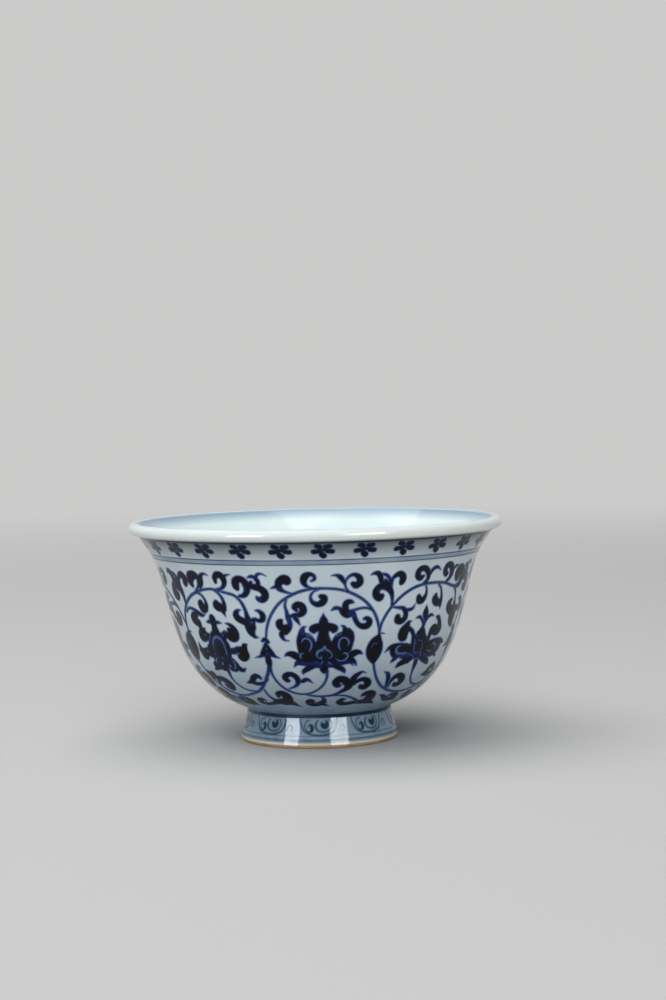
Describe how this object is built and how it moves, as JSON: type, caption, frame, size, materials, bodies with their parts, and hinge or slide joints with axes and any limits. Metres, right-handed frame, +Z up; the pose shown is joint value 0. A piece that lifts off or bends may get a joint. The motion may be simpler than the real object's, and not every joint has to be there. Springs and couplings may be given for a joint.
{
  "type": "teacup",
  "caption": "Small porcelain teacup with a flared wall, rolled lip and splayed foot ring, painted in cobalt blue under a clear glaze.",
  "frame": {"origin": "middle of the foot on the plane that the cup stands on", "axes": "+Z up along the cup's axis of revolution; the painted flower that the picture shows in the middle faces -Y"},
  "size_m": [0.09, 0.09, 0.0532],
  "materials": {
    "porcelain_body": "fired unglazed porcelain, fine and matt",
    "bare_foot": "bare foot edge, matt, flashed orange-brown in the kiln",
    "slip": "fired porcelain slip, matt",
    "outer_glaze": "clear bluish glaze over cobalt painting, glossy",
    "inner_glaze": "plain clear bluish glaze, glossy",
    "well_glaze": "plain clear bluish glaze, glossy"
  },
  "bodies": {
    "root": {"bowl": "porcelain_body", "foot_ring": "bare_foot", "luting_slip": "slip", "outer_glaze": "outer_glaze", "inner_glaze": "inner_glaze", "foot_well_glaze": "well_glaze"}
  },
  "joints": []
}
